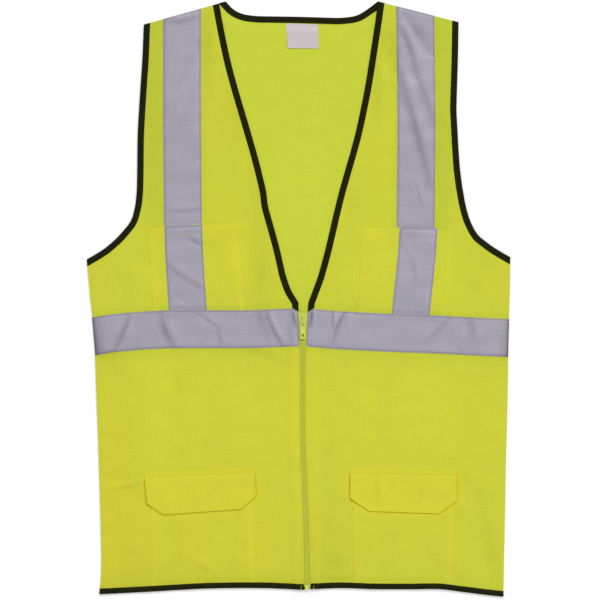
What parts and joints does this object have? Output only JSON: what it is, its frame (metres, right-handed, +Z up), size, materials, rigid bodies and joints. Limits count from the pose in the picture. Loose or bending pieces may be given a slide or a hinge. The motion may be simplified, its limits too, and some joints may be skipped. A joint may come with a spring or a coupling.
{
  "type": "safety vest",
  "caption": "Sleeveless hi-vis safety vest laid flat: yellow-green knit, black bindings, grey reflective tapes, patch pockets, flapped hip pockets and a front zip with a turning pull tab.",
  "frame": {"origin": "middle of the vest's length and width, on the surface it lies on", "axes": "+X towards the wearer's left side, +Y from the hem to the neck, +Z up from the surface, through the back to the fronts"},
  "size_m": [0.5702, 0.8011, 0.0099],
  "materials": {
    "knit": "fluorescent yellow-green knitted polyester, matt",
    "knit_inside": "the same knit seen on the inside of the back, a little greener",
    "knit_double": "two layers of the knit, a little yellower",
    "reflective_tape": "grey retroreflective cloth tape with a soft sheen",
    "binding": "black woven binding, folded and stitched",
    "zip_cloth": "woven cloth tape of the zip, yellow-green",
    "zip_teeth": "moulded plastic coil or teeth, yellow-green",
    "zip_paint": "die-cast slider, pull tab and stop, painted yellow-green",
    "label": "white woven label, bare"
  },
  "bodies": {
    "vest": {"back_panel": "knit_inside", "front_panel_right": "knit", "front_panel_left": "knit", "chest_pocket_right": "knit_double", "chest_pocket_left": "knit_double", "hip_pocket_right": "knit", "hip_pocket_left": "knit", "pocket_flap_right": "knit_double", "pocket_flap_left": "knit_double", "shoulder_tape_right": "reflective_tape", "shoulder_tape_left": "reflective_tape", "pocket_tape_right": "reflective_tape", "pocket_tape_left": "reflective_tape", "belt_tape_right": "reflective_tape", "belt_tape_left": "reflective_tape", "belt_tape_back": "reflective_tape", "back_tape_right": "reflective_tape", "back_tape_left": "reflective_tape", "neck_binding_right": "binding", "neck_binding_left": "binding", "neck_binding_back": "binding", "armhole_binding_front_right": "binding", "armhole_binding_front_left": "binding", "armhole_binding_back_right": "binding", "armhole_binding_back_left": "binding", "hem_binding_right": "binding", "hem_binding_left": "binding", "hem_binding_back": "binding", "zip_tape_right": "zip_cloth", "zip_tape_left": "zip_cloth", "zip_chain_right": "zip_teeth", "zip_chain_left": "zip_teeth", "zip_slider": "zip_paint", "zip_bottom_stop": "zip_paint", "neck_label": "label"},
    "pull_tab": {"zip_pull_tab": "zip_paint"}
  },
  "joints": [
    {"name": "pull_tab_hinge", "type": "hinge", "parent": "vest", "child": "pull_tab", "pos_m": [0.0058, -0.0226, 0.00775], "axis": [-1, 0, 0], "range_deg": [0, 170]}
  ]
}
